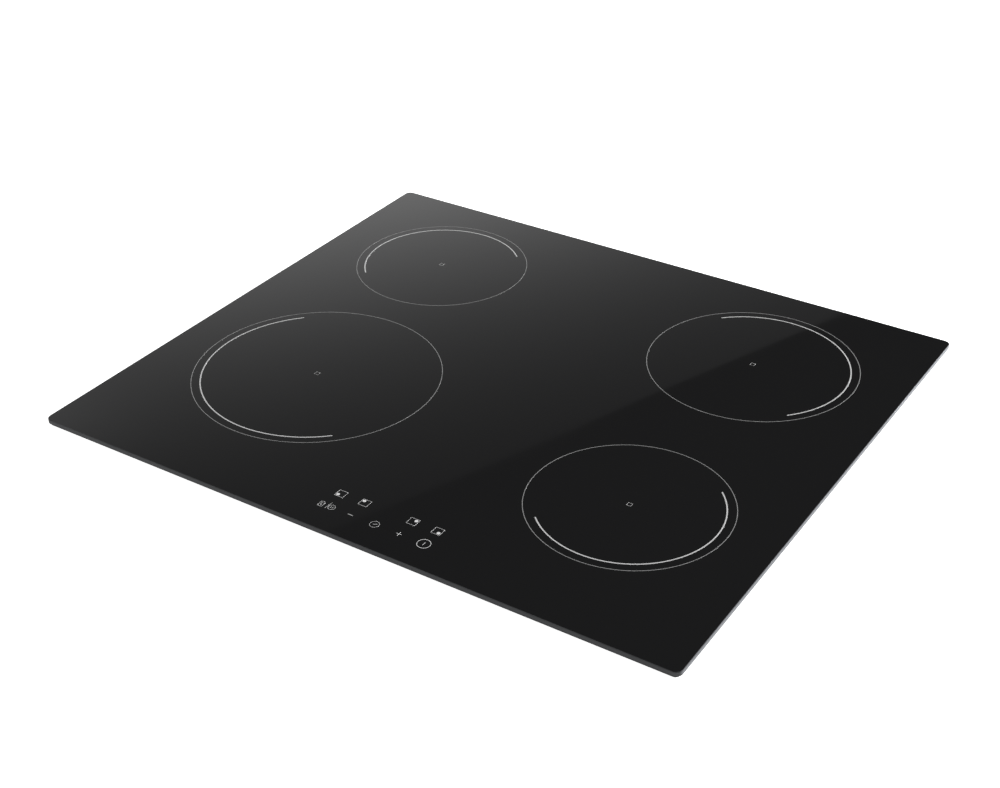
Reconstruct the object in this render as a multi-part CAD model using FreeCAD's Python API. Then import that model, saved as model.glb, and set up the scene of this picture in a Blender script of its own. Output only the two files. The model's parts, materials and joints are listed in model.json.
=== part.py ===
import FreeCAD, Part
import math
import os

# Built-in induction hob with four zones: a black glass-ceramic plate over a shallow sheet steel casing.
# Millimetres. X runs to the right, Y to the back and Z up. The origin is the middle of the casing's
# underside, so the hob stands on z = 0.

os.makedirs("parts", exist_ok=True)
V = FreeCAD.Vector

# ---------------------------------------------------------------- driving dimensions

glass_w = 590.0
glass_d = 520.0
glass_t = 4.0
glass_corner_r = 6.0
glass_arris = 0.5          # ground chamfer on the top and bottom edges
cutout_overlap = 15.0      # how far the glass covers the worktop beyond the cut-out
cutout_gap = 3.0           # casing wall to cut-out
casing_depth = 50.0        # casing underside to glass underside

print_t = 0.15             # depth of the fired print
ring_line = 0.6
arc_line = 1.1
arc_inset = 7.8            # ring to the half circle inside it
centre_mark = 4.0
mark_line = 0.24
bold_line = 0.4            # minus, plus, power sign and clock hands
chooser_side = 8.0

# Each zone: name, which sides its distances are measured from, those distances, ring radius.
# The first sign is -1 from the left edge or 1 from the right. The second is -1 from the front or 1 from
# the back.
ZONES = [
    ("front_left", -1, -1, 146.5, 177.5, 108.0),
    ("back_left", -1, 1, 123.0, 118.0, 82.0),
    ("back_right", 1, 1, 132.5, 128.5, 92.0),
    ("front_right", 1, -1, 122.0, 152.0, 82.0),
]

touch_mid_x = 23.4         # middle of the five columns of touch signs
touch_pitch = 22.6
touch_row_1 = 45.5         # rows measured from the glass's front edge
touch_row_2 = 27.2

seal_w = 8.0
seal_t = 2.0
seal_edge_gap = 2.0        # glass edge to seal
bond_w = 6.0
bond_t = 0.8
frame_flange = 9.0
frame_skirt = 13.0
sheet_t = 0.8
casing_corner_r = 4.0
bend_r = 0.8               # inside radius of the casing's folds
bead_w = 10.0              # stiffening beads pressed up into the casing's floor
bead_h = 1.6
casing_lip_gap = 3.0       # top of the casing's wall to the glass
margin_w = 24.0            # raised margin along each side, where the brackets tuck in
margin_h = 12.0

disc_t = 2.0               # insulation disc between winding and glass
winding_t = 4.0
winding_inner_r = 18.0
former_t = 3.0
former_wall = 1.6
former_gap = 0.4
former_rim = 10.0          # ring to winding's outer edge
ferrite_t = 5.0
ferrite_w = 12.0
ferrite_count = 8
ferrite_inset = 2.4        # former's hub to a ferrite's inner end
coil_plate_t = 1.0
plate_centre_hole_r = 14.0
litz_w = 3.2               # width of one turn
turn_gap = 0.6

tray_t = 1.6
tray_wall_h = 5.0
tray_edge_gap = 2.2        # tray to the casing's inner walls at the sides
tray_middle_gap = 12.0     # tray edge to the hob's middle line
tray_front = 52.0          # casing's front wall to tray
tray_length = 378.0
board_t = 1.6
board_lift = 5.6           # tray floor to board
component_top = 29.0       # tallest parts on the boards

fan_r = 46.0
fan_wall = 1.6
fan_h = 24.0
impeller_gap = 8.0         # fan housing's outside to the wheel
inlet_rim = 18.0           # fan housing's outside to its inlet
impeller_blades = 24
shaft_r = 1.5
running_gap = 0.05         # radial clearance of shafts, pins and pivots

bracket_t = 2.0
bracket_w = 16.0
bracket_reach = 55.0
bracket_tab = 6.0
bracket_pivot_r = 2.0
bracket_inset = 52.0       # pivot to the casing's front or back wall

box_w = 102.0              # terminal box
box_d = 44.0
box_h = 30.0
box_wall = 2.0
box_lift = 2.0             # casing floor to terminal box
box_right_gap = 57.0       # terminal box to the casing's right wall
grommet_length = 10.0
pole_count = 5

# ---------------------------------------------------------------- levels and edges worked out from them

glass_z = casing_depth
top_z = glass_z + glass_t
half_w = glass_w / 2
half_d = glass_d / 2
casing_x = half_w - cutout_overlap - cutout_gap
casing_y = half_d - cutout_overlap - cutout_gap
inner_x = casing_x - sheet_t
inner_y = casing_y - sheet_t
wall_top = glass_z - casing_lip_gap
floor_z = sheet_t
step_x = casing_x - margin_w
winding_top = glass_z - disc_t
former_top = winding_top - winding_t
former_bottom = former_top - former_t
plate_top = former_bottom - ferrite_t
plate_z = plate_top - coil_plate_t
frame_top = glass_z - bond_t
tray_top = floor_z + tray_t
tray_x0 = -(step_x - sheet_t - tray_edge_gap)
tray_x1 = -tray_middle_gap
tray_y0 = -casing_y + tray_front
tray_y1 = tray_y0 + tray_length
board_z = tray_top + board_lift
board_top = board_z + board_t
fan_top = tray_top + fan_h
fan_inlet_r = fan_r - inlet_rim
impeller_r = fan_r - impeller_gap
cable_r = (box_h - 2 * box_wall) / 4       # mains cable inlet, half as wide as the terminal box is high
fan_x = tray_x0 + fan_r + 14.0
fan_y = tray_y1 - fan_r - 22.0


# ---------------------------------------------------------------- small building blocks

def block(x0, x1, y0, y1, z0, z1):
    """A plain block between two corners."""
    return Part.makeBox(x1 - x0, y1 - y0, z1 - z0, V(x0, y0, z0))


def disc(x, y, z0, z1, r):
    """An upright round bar."""
    return Part.makeCylinder(r, z1 - z0, V(x, y, z0))


def tube(x, y, z0, z1, outer, inner):
    """An upright tube."""
    return disc(x, y, z0, z1, outer).cut(disc(x, y, z0 - 1, z1 + 1, inner))


def rounded_block(w, d, r, z0, z1, x=0.0, y=0.0):
    """A block with rounded upright edges, centred on x, y."""
    solid = block(x - w / 2, x + w / 2, y - d / 2, y + d / 2, z0, z1)
    upright = [e for e in solid.Edges if abs(e.Vertexes[0].Z - e.Vertexes[1].Z) > (z1 - z0) / 2]
    return solid.makeFillet(r, upright)


def soft_bottom(solid, r):
    """The same solid with its bottom edges rounded."""
    z = solid.BoundBox.ZMin
    rim = [e for e in solid.Edges if e.BoundBox.ZMax < z + 0.01]
    return solid.makeFillet(r, rim)


def prism(points, direction):
    """A closed outline pushed along a direction."""
    wire = Part.makePolygon(points + [points[0]])
    return Part.Face(wire).extrude(direction)


def turned(shape, x, y, angle):
    """A shape turned about the upright line through x, y."""
    copy = shape.copy()
    copy.rotate(V(x, y, 0), V(0, 0, 1), angle)
    return copy


def mirrored(shape):
    """The same shape on the other side of the middle line."""
    return shape.mirror(V(0, 0, 0), V(1, 0, 0))


def joined(shapes):
    """Touching shapes as one solid."""
    whole = shapes[0].fuse(shapes[1:])
    return whole.removeSplitter()


def save(name, shapes):
    """One piece, or a group of like pieces, as its own file."""
    group = shapes if isinstance(shapes, list) else [shapes]
    solids = [s for shape in group for s in shape.Solids]
    if not all(s.isValid() for s in solids):
        print("not valid:", name)
    result = solids[0] if len(solids) == 1 else Part.makeCompound(solids)
    result.exportStep("parts/" + name + ".step")
    print(name, len(solids), "solids", round(sum(s.Volume for s in solids) / 1000, 2), "cm3")


def zone_centre(zone):
    """Middle of a zone from its distances to the glass's edges."""
    _, side, end, from_side, from_end, _ = zone
    return side * (half_w - from_side), end * (half_d - from_end)


def both_sides(left):
    """The left module's pieces and their mirror images."""
    return left, mirrored(left)


# ---------------------------------------------------------------- print fired on the glass

def half_ring(x, y, r, line, middle_angle):
    """A flat half ring whose middle points along middle_angle."""
    ring = tube(x, y, top_z - print_t, top_z, r + line / 2, r - line / 2)
    keep = block(x, x + 2 * r, y - 2 * r, y + 2 * r, top_z - 1, top_z + 1)
    return ring.common(turned(keep, x, y, middle_angle))


def flat_ring(x, y, r, line):
    """A thin printed circle."""
    return tube(x, y, top_z - print_t, top_z, r + line / 2, r - line / 2)


def flat_bar(x, y, length, line, angle=0.0):
    """A printed stroke centred on x, y."""
    bar = block(x - length / 2, x + length / 2, y - line / 2, y + line / 2, top_z - print_t, top_z)
    return turned(bar, x, y, angle)


def flat_square(x, y, side, line):
    """A printed square outline."""
    outer = block(x - side / 2, x + side / 2, y - side / 2, y + side / 2, top_z - print_t, top_z)
    inner = side / 2 - line
    return outer.cut(block(x - inner, x + inner, y - inner, y + inner, top_z - 1, top_z + 1))


def zone_chooser(x, y, side, end):
    """A small square with a dot in the corner that stands for the zone."""
    dot = disc(x + side * 1.8, y + end * 1.8, top_z - print_t, top_z, 1.5)
    return [flat_square(x, y, chooser_side, mark_line), dot]


def lock_sign(x, y):
    """A closed padlock with a keyhole, a steep slash and a ring with two upright strokes."""
    lock_x = x - 4.9
    ring_x = x + 4.6
    body = flat_square(lock_x, y - 1.0, 4.4, mark_line)
    shackle = half_ring(lock_x, y + 1.4, 1.8, mark_line, 90.0)
    keyhole = disc(lock_x, y - 1.0, top_z - print_t, top_z, 0.6)
    slash = flat_bar(x + 1.0, y + 0.8, 8.6, mark_line, 85.0)
    strokes = [flat_bar(ring_x + dx, y, 2.4, mark_line, 90.0) for dx in (-0.75, 0.75)]
    return [joined([body, shackle]), keyhole, slash, flat_ring(ring_x, y, 2.9, mark_line)] + strokes


def timer_sign(x, y):
    """A clock face whose two hands lie in one line."""
    hands = flat_bar(x + 0.4, y + 0.3, 3.4, bold_line, 33.0)
    return [flat_ring(x, y, 3.8, mark_line), hands]


def plus_sign(x, y):
    """Two crossed strokes."""
    return [joined([flat_bar(x, y, 4.8, bold_line), flat_bar(x, y, 4.8, bold_line, 90.0)])]


def power_sign(x, y):
    """A circle with an upright stroke in it."""
    return [flat_ring(x, y, 5.3, bold_line), flat_bar(x, y, 4.2, bold_line, 90.0)]


rings = []
arcs = []
centres = []
for zone in ZONES:
    zone_x, zone_y = zone_centre(zone)
    outward = math.degrees(math.atan2(zone[2], zone[1]))
    rings.append(flat_ring(zone_x, zone_y, zone[5], ring_line))
    arcs.append(half_ring(zone_x, zone_y, zone[5] - arc_inset, arc_line, outward))
    centres.append(flat_square(zone_x, zone_y, centre_mark, mark_line))

column = [touch_mid_x + touch_pitch * k for k in (-2, -1, 0, 1, 2)]
row_1 = -half_d + touch_row_1
row_2 = -half_d + touch_row_2
marks = []
for x, side, end in zip((column[0], column[1], column[3], column[4]), (-1, -1, 1, 1), (-1, 1, 1, -1)):
    marks += zone_chooser(x, row_1, side, end)
marks += lock_sign(column[0], row_2)
marks += [flat_bar(column[1], row_2, 4.4, bold_line)]
marks += timer_sign(column[2], row_2)
marks += plus_sign(column[3], row_2)
marks += power_sign(column[4], row_2)

save("zone_rings", rings)
save("zone_arcs", arcs)
save("zone_centres", centres)
save("control_marks", marks)

# ---------------------------------------------------------------- glass plate, with the print let in flush

glass = rounded_block(glass_w, glass_d, glass_corner_r, glass_z, top_z)
outline = [e for e in glass.Edges if abs(e.BoundBox.ZMax - e.BoundBox.ZMin) < 0.01]
glass = glass.makeChamfer(glass_arris, outline)
glass = glass.cut(Part.makeCompound(rings + arcs + centres + marks))
save("glass_top", glass)

# ---------------------------------------------------------------- worktop seal: four foam strips

seal_x = half_w - seal_edge_gap
seal_y = half_d - seal_edge_gap
seal_z = glass_z - seal_t
strips = []
for side in (-1, 1):
    x0, x1 = sorted((side * seal_x, side * (seal_x - seal_w)))
    strip = block(x0, x1, -seal_y, seal_y, seal_z, glass_z)
    corners = [e for e in strip.Edges if e.Length < seal_t + 0.01 and abs(e.Vertexes[0].X) > seal_x - 0.01]
    strips.append(strip.makeFillet(glass_corner_r - seal_edge_gap, corners))
    y0, y1 = sorted((side * seal_y, side * (seal_y - seal_w)))
    strips.append(block(-seal_x + seal_w, seal_x - seal_w, y0, y1, seal_z, glass_z))
save("worktop_seal", strips)

# ---------------------------------------------------------------- support frame and its bond to the glass

touch_x0 = touch_mid_x - 2 * touch_pitch - 36.0
touch_x1 = touch_mid_x + 2 * touch_pitch + 36.0
touch_y0 = -inner_y + sheet_t + 1.6
touch_y1 = touch_y0 + 41.0
touch_notch = block(touch_x0, touch_x1, -inner_y + sheet_t, -inner_y + 20.0, frame_top - 3.0, glass_z + 1.0)


def frame_ring(width, z0, z1, inset=0.0):
    """A rectangular ring inside the casing's walls."""
    outer_x = inner_x - inset
    outer_y = inner_y - inset
    outer = rounded_block(2 * outer_x, 2 * outer_y, casing_corner_r - sheet_t, z0, z1)
    hole = block(-outer_x + width, outer_x - width, -outer_y + width, outer_y - width, z0 - 1, z1 + 1)
    return outer.cut(hole)


screw_z = wall_top - 5.0
screw_r = 1.6
screw_spots = []
for side in (-1, 1):
    for along in (-0.55, 0.55):
        screw_spots.append((side * casing_x, along * casing_y, V(side, 0, 0)))
        screw_spots.append((along * casing_x, side * casing_y, V(0, side, 0)))


def screw_bore(x, y, outward, r, depth):
    """A round bar that goes through the wall at a screw."""
    return Part.makeCylinder(r, depth + 4.0, V(x, y, screw_z) + outward * 4.0, outward * -1.0)


frame = frame_ring(frame_flange, frame_top - sheet_t, frame_top)
frame = joined([frame, frame_ring(sheet_t, frame_top - frame_skirt, frame_top)])
frame = frame.cut(touch_notch)
for x, y, outward in screw_spots:
    frame = frame.cut(screw_bore(x, y, outward, screw_r + running_gap, 6.0))
save("support_frame", frame)

bond = frame_ring(bond_w, frame_top, glass_z, 1.0).cut(touch_notch)
save("frame_bond", bond)

# ---------------------------------------------------------------- casing: folded pan with raised side margins

outer_bend_r = bend_r + sheet_t
wide_pan = rounded_block(2 * casing_x, 2 * casing_y, casing_corner_r, margin_h, wall_top)
low_pan = rounded_block(2 * step_x, 2 * casing_y, casing_corner_r, 0.0, wall_top)
pan = joined([soft_bottom(wide_pan, outer_bend_r), soft_bottom(low_pan, outer_bend_r)])
hollow_r = casing_corner_r - sheet_t
hollow = rounded_block(2 * inner_x, 2 * inner_y, hollow_r, margin_h + sheet_t, wall_top + 5.0)
low_hollow = rounded_block(2 * (step_x - sheet_t), 2 * inner_y, hollow_r, floor_z, wall_top + 5.0)
pan = pan.cut(soft_bottom(hollow, bend_r).fuse(soft_bottom(low_hollow, bend_r)))


def bead(w, d, x, y):
    """A long low ridge in the floor and the groove under it, as two solids."""
    ridge = rounded_block(w, d, min(w, d) / 2 - 0.05, 0.0, floor_z + bead_h, x, y)
    top = [e for e in ridge.Edges if e.BoundBox.ZMin > floor_z + bead_h - 0.01]
    w_in = w - 2 * sheet_t
    d_in = d - 2 * sheet_t
    groove = rounded_block(w_in, d_in, min(w_in, d_in) / 2 - 0.05, -1.0, bead_h, x, y)
    return ridge.makeFillet(bend_r, top), groove


front_bead_x0 = casing_x * 0.4
front_bead_x1 = step_x - 16.0
front_bead_w = front_bead_x1 - front_bead_x0
front_bead_mid = (front_bead_x0 + front_bead_x1) / 2
front_bead_y = -casing_y + tray_front / 2
middle_bead_d = tray_length * 0.4
middle_bead_y = middle_bead_d / 2 + 20.0
beads = [
    bead(bead_w, middle_bead_d, 0.0, -middle_bead_y),
    bead(bead_w, middle_bead_d, 0.0, middle_bead_y),
    bead(front_bead_w, bead_w, -front_bead_mid, front_bead_y),
    bead(front_bead_w, bead_w, front_bead_mid, front_bead_y),
]
pan = pan.fuse([ridge for ridge, groove in beads]).cut(Part.makeCompound([groove for ridge, groove in beads]))

intake_pitch = fan_inlet_r / 4
slot_w = 3.6
cuts = []
for side in (-1, 1):
    for k in range(-3, 4):
        reach = math.sqrt((fan_inlet_r - 1.0) ** 2 - (k * intake_pitch) ** 2)
        x = side * fan_x + k * intake_pitch
        slot = rounded_block(slot_w, 2 * reach, slot_w / 2 - 0.05, -1.0, floor_z + 1.0, x, fan_y)
        cuts.append(slot)

exhaust_pitch = 9.0
exhaust_h = 22.0
exhaust_z = floor_z + 6.0
for side in (-1, 1):
    for k in range(12):
        x = side * (casing_x * 0.34 + k * exhaust_pitch)
        cuts.append(block(x - 2.0, x + 2.0, -casing_y - 1, -inner_y + 1, exhaust_z, exhaust_z + exhaust_h))
for k in range(14):
    x = -(casing_x * 0.34 + k * exhaust_pitch)
    cuts.append(block(x - 2.0, x + 2.0, inner_y - 1, casing_y + 1, exhaust_z, exhaust_z + exhaust_h))

box_x1 = casing_x - box_right_gap
box_x0 = box_x1 - box_w
box_z0 = floor_z + box_lift
box_z1 = box_z0 + box_h
fit_gap = 0.2
cuts.append(block(box_x0 - fit_gap, box_x1 + fit_gap, inner_y - 1, casing_y + 1,
                  box_z0 - fit_gap, box_z1 + fit_gap))
for x, y, outward in screw_spots:
    cuts.append(screw_bore(x, y, outward, screw_r + 0.4, 2.0))

pivot_x = casing_x - margin_w / 2
pivot_y = casing_y - bracket_inset
pivots = [
    ("front_left", -1, -1),
    ("back_left", -1, 1),
    ("back_right", 1, 1),
    ("front_right", 1, -1),
]
pivot_hole_r = bracket_pivot_r + running_gap
for _, side, end in pivots:
    cuts.append(disc(side * pivot_x, end * pivot_y, margin_h - 1, margin_h + 2, pivot_hole_r))
pan = pan.cut(Part.makeCompound(cuts))
save("casing_pan", pan)

head_r = 3.3
head_h = 1.8
head_round = 1.0
recess_w = 0.8             # arms of the cross recess
recess_reach = 1.8
recess_depth = 1.1


def pan_head_screw():
    """A screw along Z whose rounded head stands on z = 0 and has a cross recess."""
    shank = disc(0, 0, -7.0, 0, screw_r)
    head = disc(0, 0, 0, head_h, head_r)
    rim = [e for e in head.Edges if e.BoundBox.ZMin > head_h - 0.01]
    screw = joined([shank, head.makeFillet(head_round, rim)])
    half = recess_w / 2
    z = head_h - recess_depth
    cross = block(-recess_reach, recess_reach, -half, half, z, head_h + 1)
    cross = cross.fuse(block(-half, half, -recess_reach, recess_reach, z, head_h + 1))
    return screw.cut(cross)


screws = []
for x, y, outward in screw_spots:
    screw = pan_head_screw()
    screw.Placement = FreeCAD.Placement(V(x, y, screw_z), FreeCAD.Rotation(V(0, 0, 1), outward))
    screws.append(screw)
save("casing_screws", screws)

# ---------------------------------------------------------------- worktop brackets and their pivot screws

bracket_top = margin_h - 0.1
bracket_z = bracket_top - bracket_t
pivot_screws = []
for name, side, end in pivots:
    x = side * pivot_x
    y = end * pivot_y
    tip = y - end * bracket_reach
    y0, y1 = sorted((y, tip))
    arm = block(x - bracket_w / 2, x + bracket_w / 2, y0, y1, bracket_z, bracket_top)
    eye = disc(x, y, bracket_z, bracket_top, bracket_w / 2)
    t0, t1 = sorted((tip, tip + end * bracket_t))
    tab = block(x - bracket_w / 2, x + bracket_w / 2, t0, t1, bracket_z - bracket_tab, bracket_z)
    bracket = joined([arm, eye, tab])
    bracket = bracket.cut(disc(x, y, bracket_z - 1, bracket_top + 1, pivot_hole_r))
    hole_y = tip + end * 12.0
    bracket = bracket.cut(disc(x, hole_y, bracket_z - 1, bracket_top + 1, 2.1))
    save("bracket_" + name, bracket)
    head = disc(x, y, bracket_z - 2.4, bracket_z - 0.2, 4.4)
    shank = disc(x, y, bracket_z - 0.2, margin_h + sheet_t + 3.0, bracket_pivot_r)
    nut = disc(x, y, margin_h + sheet_t, margin_h + sheet_t + 3.0, 3.6)
    slot = block(x - 5.0, x + 5.0, y - 0.5, y + 0.5, bracket_z - 3.0, bracket_z - 1.4)
    pivot_screws.append(joined([head, shank, nut]).cut(slot))
save("bracket_screws", pivot_screws)

# ---------------------------------------------------------------- coils

turn_pitch = litz_w + turn_gap
sensor_r = 5.0
sensor_collar_r = 8.0
hub_r = winding_inner_r - former_gap
lead_r = 1.3
lead_reach = 9.6           # lead to the coil's middle
lead_spread = 3.2


def half_turn(x, y, r, upper):
    """Half of one turn, above or below the line through its middle."""
    outer = Part.makeCylinder(r + litz_w, winding_t, V(x, y, former_top), V(0, 0, 1), 180)
    inner = Part.makeCylinder(r, winding_t, V(x, y, former_top), V(0, 0, 1), 180)
    half = outer.cut(inner)
    return half if upper else turned(half, x, y, 180)


def spiral_winding(x, y, outer_r):
    """A flat spiral of half circles. The lower halves are centred half a pitch to the right, so that
    each end meets the next half's beginning."""
    halves = []
    r = winding_inner_r
    while r + litz_w <= outer_r:
        upper = len(halves) % 2 == 0
        shift = 0.0 if upper else turn_pitch / 2
        if r + litz_w + shift <= outer_r:
            halves.append(half_turn(x + shift, y, r, upper))
        r += turn_pitch / 2
    return joined(halves)


def coil_former(x, y, outer_r):
    """A moulded disc with a hub and a rim round the winding, and windows between its spokes."""
    rim_r = outer_r + former_gap + former_wall
    base = disc(x, y, former_bottom, former_top, rim_r)
    rim = tube(x, y, former_top, winding_top - 0.5, rim_r, rim_r - former_wall)
    hub = tube(x, y, former_top, winding_top - 0.5, hub_r, hub_r - former_wall)
    body = joined([base, rim, hub])
    window_r0 = hub_r + 6.0
    window_r1 = outer_r - 5.0
    step = 360.0 / ferrite_count
    reach = 2 * outer_r
    spread = reach * math.tan(math.radians(step / 4))
    below = former_bottom - 1
    for k in range(ferrite_count):
        window = tube(x, y, below, former_top + 1, window_r1, window_r0)
        sector = prism([V(x, y, below), V(x + reach, y - spread, below), V(x + reach, y + spread, below)],
                       V(0, 0, former_t + 2))
        window = window.common(turned(sector, x, y, (k + 0.5) * step))
        body = body.cut(window)
    body = body.cut(disc(x, y, former_bottom - 1, former_top + 1, sensor_r + 0.8))
    for lead in lead_spots(x, y):
        body = body.cut(disc(lead[0], lead[1], former_bottom - 1, former_top + 1, lead_r + 0.2))
    return body


def lead_spots(x, y):
    """Where a coil's two leads go down, on the side of the hob's middle line."""
    side = -1 if x > 0 else 1
    return [(x + side * lead_reach, y - lead_spread), (x + side * lead_reach, y + lead_spread)]


def ferrites(x, y, outer_r):
    """Flat bars in a star under the former, each under a spoke."""
    bars = []
    x0 = x + hub_r + ferrite_inset
    x1 = x + outer_r - 4.0
    for k in range(ferrite_count):
        bar = block(x0, x1, y - ferrite_w / 2, y + ferrite_w / 2, plate_top, former_bottom)
        bars.append(turned(bar, x, y, k * 360.0 / ferrite_count))
    return bars


def temperature_sensor(x, y):
    """A rubber-booted sensor: its stem sits in the former and its head touches the glass."""
    stem = disc(x, y, plate_top, former_top, sensor_r + 0.6)
    collar = disc(x, y, former_top, former_top + 1.5, sensor_collar_r)
    head = disc(x, y, former_top + 1.5, glass_z, sensor_r)
    return joined([stem, collar, head])


all_ferrites = []
discs = []
sensors = []
for zone in ZONES:
    zone_x, zone_y = zone_centre(zone)
    coil_r = zone[5] - former_rim
    save("coil_winding_" + zone[0], spiral_winding(zone_x, zone_y, coil_r))
    save("coil_former_" + zone[0], coil_former(zone_x, zone_y, coil_r))
    all_ferrites += ferrites(zone_x, zone_y, coil_r)
    discs.append(tube(zone_x, zone_y, winding_top, glass_z, coil_r, sensor_r + 1.0))
    sensors.append(temperature_sensor(zone_x, zone_y))
save("ferrite_bars", all_ferrites)
save("insulation_discs", discs)
save("temperature_sensors", sensors)

# ---------------------------------------------------------------- aluminium plates under the coils

plate_side_gap = 12.0      # plate to the casing's side wall
plate_middle_gap = 8.0
plate_fold = 2.0
plate_front = tray_y0 - 2.0
plate_back = casing_y - 10.0


def coil_plate(side):
    """One plate under two coils, with a hole under each coil's middle and folded long edges."""
    x0, x1 = sorted((side * (inner_x - plate_side_gap), side * plate_middle_gap))
    plate = block(x0, x1, plate_front, plate_back, plate_z, plate_top)
    front = block(x0, x1, plate_front, plate_front + coil_plate_t, plate_z - plate_fold, plate_z)
    back = block(x0, x1, plate_back - coil_plate_t, plate_back, plate_z - plate_fold, plate_z)
    plate = joined([plate, front, back])
    for zone in ZONES:
        if zone[1] == side:
            x, y = zone_centre(zone)
            plate = plate.cut(disc(x, y, plate_z - 1, plate_top + 1, plate_centre_hole_r))
    return plate


save("coil_plate_left", coil_plate(-1))
save("coil_plate_right", coil_plate(1))

# ---------------------------------------------------------------- trays, towers and leaf springs

tower_w = 12.0
tower_l = 44.0
leaf_chord = 40.0
leaf_rise = 4.4
leaf_t = 0.6
leaf_w = 9.0
leaf_r = ((leaf_chord / 2) ** 2 + leaf_rise ** 2) / (2 * leaf_rise)
tower_top = plate_z - leaf_r + math.sqrt((leaf_r - leaf_t) ** 2 - (leaf_chord / 2) ** 2)
board_x0 = tray_x0 + tower_w + 3.0
board_x1 = tray_x1 - tower_w - 3.0
board_y0 = tray_y0 + 5.0
board_y1 = tray_y1 - 5.0
board_step_x = board_x0 + 2 * fan_r + 6.0
board_step_y = fan_y - fan_r - 20.0
tower_spots = [
    (tray_x0 + 1.0 + tower_w / 2, tray_y0 + 28.0),
    (tray_x0 + 1.0 + tower_w / 2, tray_y1 - 30.0),
    (tray_x1 - 1.0 - tower_w / 2, tray_y0 + 28.0),
    (tray_x1 - 1.0 - tower_w / 2, tray_y1 - 30.0),
]
standoff_spots = [
    (board_x0 + 6.0, board_y0 + 6.0),
    (board_x1 - 6.0, board_y0 + 6.0),
    (board_x1 - 6.0, board_y1 - 6.0),
    (board_x0 + 6.0, board_step_y - 6.0),
]


def board_tray():
    """A moulded tray with edge walls, board standoffs, spring towers and a hole under the fan."""
    tray = block(tray_x0, tray_x1, tray_y0, tray_y1, floor_z, tray_top)
    wall = block(tray_x0, tray_x1, tray_y0, tray_y1, tray_top, tray_top + tray_wall_h)
    inside = block(tray_x0 + tray_t, tray_x1 - tray_t, tray_y0 + tray_t, tray_y1 - tray_t,
                   tray_top - 1, tray_top + tray_wall_h + 1)
    pieces = [tray, wall.cut(inside)]
    for x, y in standoff_spots:
        pieces.append(disc(x, y, tray_top, board_z, 3.5))
    for x, y in tower_spots:
        tower = block(x - tower_w / 2, x + tower_w / 2, y - tower_l / 2, y + tower_l / 2, tray_top, tower_top)
        core = block(x - tower_w / 2 + tray_t, x + tower_w / 2 - tray_t, y - tower_l / 2 + tray_t,
                     y + tower_l / 2 - tray_t, floor_z - 1, tower_top - tray_t)
        pieces.append(tower.cut(core))
    body = joined(pieces)
    return body.cut(disc(fan_x, fan_y, floor_z - 1, tray_top + 1, fan_inlet_r + 1.0))


def leaf_spring(x, y):
    """An arched strip: its ends stand on a tower and its crown bears on the coil plate."""
    axis_z = plate_z - leaf_r
    outer = Part.makeCylinder(leaf_r, leaf_w, V(x - leaf_w / 2, y, axis_z), V(1, 0, 0))
    inner = Part.makeCylinder(leaf_r - leaf_t, leaf_w + 2, V(x - leaf_w / 2 - 1, y, axis_z), V(1, 0, 0))
    half = leaf_chord / 2
    keep = block(x - leaf_w, x + leaf_w, y - half, y + half, axis_z, plate_z + 1)
    return outer.cut(inner).common(keep)


left, right = both_sides(board_tray())
save("board_tray_left", left)
save("board_tray_right", right)
leaves = [leaf_spring(x, y) for x, y in tower_spots]
save("plate_springs", leaves + [mirrored(leaf) for leaf in leaves])

# ---------------------------------------------------------------- power boards and what stands on them

sink_x0 = board_x0 + 4.0
sink_w = 62.0
sink_base = 4.0
sink_y0 = board_y0 + 14.0
sink_y1 = board_step_y - 14.0
fin_t = 1.5
fin_pitch = 4.4
device_t = 5.0
device_w = 16.0
sink_x1 = sink_x0 + sink_w


def power_board():
    """An L-shaped circuit board that leaves room for the fan."""
    front = block(board_x0, board_x1, board_y0, board_step_y, board_z, board_top)
    back = block(board_step_x, board_x1, board_step_y, board_y1, board_z, board_top)
    board = joined([front, back])
    for x, y in standoff_spots:
        board = board.cut(disc(x, y, board_z - 1, board_top + 1, 1.6))
    return board


def heat_sink():
    """An extrusion with an upright back and level fins, so that air runs along it between them."""
    root_x = sink_x1 - sink_base
    points = [V(sink_x1, sink_y0, board_top), V(sink_x1, sink_y0, component_top)]
    z = component_top
    while z - fin_t >= board_top:
        is_last = z - fin_pitch - fin_t < board_top
        next_z = board_top if is_last else z - fin_pitch
        points += [V(sink_x0, sink_y0, z), V(sink_x0, sink_y0, z - fin_t)]
        points += [V(root_x, sink_y0, z - fin_t), V(root_x, sink_y0, next_z)]
        z -= fin_pitch
    return prism(points, V(0, sink_y1 - sink_y0, 0))


def power_device(y, width):
    """A flat device on the heat sink's back, with three legs down to the board."""
    body_z = board_top + 3.0
    body = block(sink_x1, sink_x1 + device_t, y - width / 2, y + width / 2, body_z, component_top - 1.0)
    legs = [block(sink_x1 + 2.0, sink_x1 + 2.6, y + dy - 0.6, y + dy + 0.6, board_top, body_z)
            for dy in (-width / 3, 0.0, width / 3)]
    return joined([body] + legs)


def devices():
    """Four transistors and a wider bridge rectifier in a row."""
    pitch = (sink_y1 - sink_y0) / 5
    row = [power_device(sink_y0 + pitch * (k + 0.5), device_w) for k in range(4)]
    return row + [power_device(sink_y0 + pitch * 4.5, device_w * 1.7)]


def film_capacitors():
    """Block capacitors in two rows."""
    x = board_x1 - 26.0
    blocks = []
    for k in range(3):
        y = board_y0 + 30.0 + k * 36.0
        blocks.append(rounded_block(18.0, 32.0, 1.0, board_top, component_top - 2.0, x, y))
    for k in range(3):
        y = board_y0 + 26.0 + k * 26.0
        blocks.append(rounded_block(11.0, 22.0, 1.0, board_top, component_top - 8.0, x - 22.0, y))
    return blocks


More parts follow.
